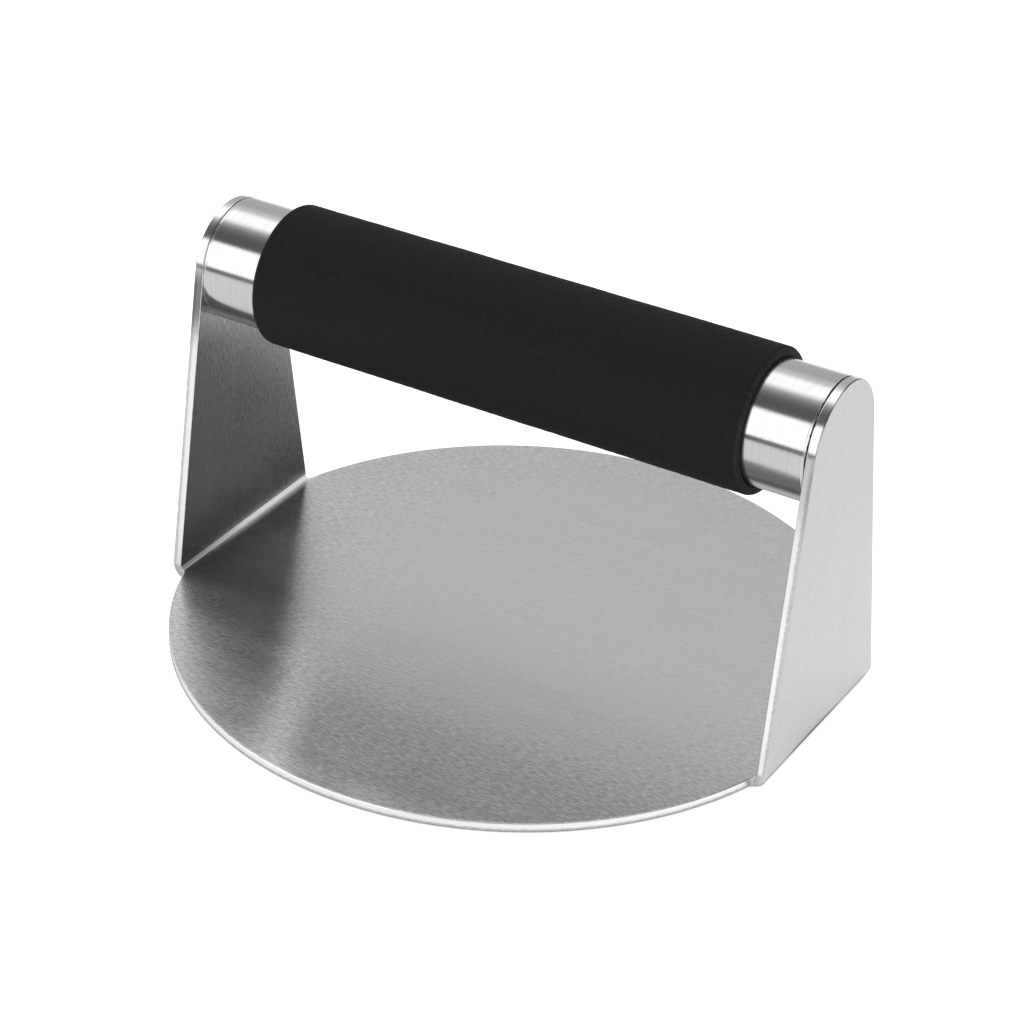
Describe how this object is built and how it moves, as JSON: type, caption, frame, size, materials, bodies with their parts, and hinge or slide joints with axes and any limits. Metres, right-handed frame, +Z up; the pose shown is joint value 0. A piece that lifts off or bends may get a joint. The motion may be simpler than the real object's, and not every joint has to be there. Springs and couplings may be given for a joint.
{
  "type": "patty press",
  "caption": "Round flat hand press of folded stainless sheet: upturned tapered side brackets carry a welded tube handle with a black rubber sleeve.",
  "frame": {"origin": "centre of the round plate's resting face", "axes": "+Z up, X along the handle from the left bracket (-X) to the right bracket (+X)"},
  "size_m": [0.138, 0.14, 0.079],
  "materials": {
    "brushed_sheet": "brushed stainless sheet, fine grain along the handle on the plate and upright on the brackets",
    "satin_tube": "smoother satin stainless tube with sharp bright and dark bands along it",
    "weld_metal": "weld metal ground flush with the tube",
    "black_rubber": "matte near-black rubber with a fine leather-like grain"
  },
  "bodies": {
    "root": {"press_body": "brushed_sheet", "handle_tube": "satin_tube", "left_weld_bead": "weld_metal", "right_weld_bead": "weld_metal", "grip_sleeve": "black_rubber"}
  },
  "joints": []
}
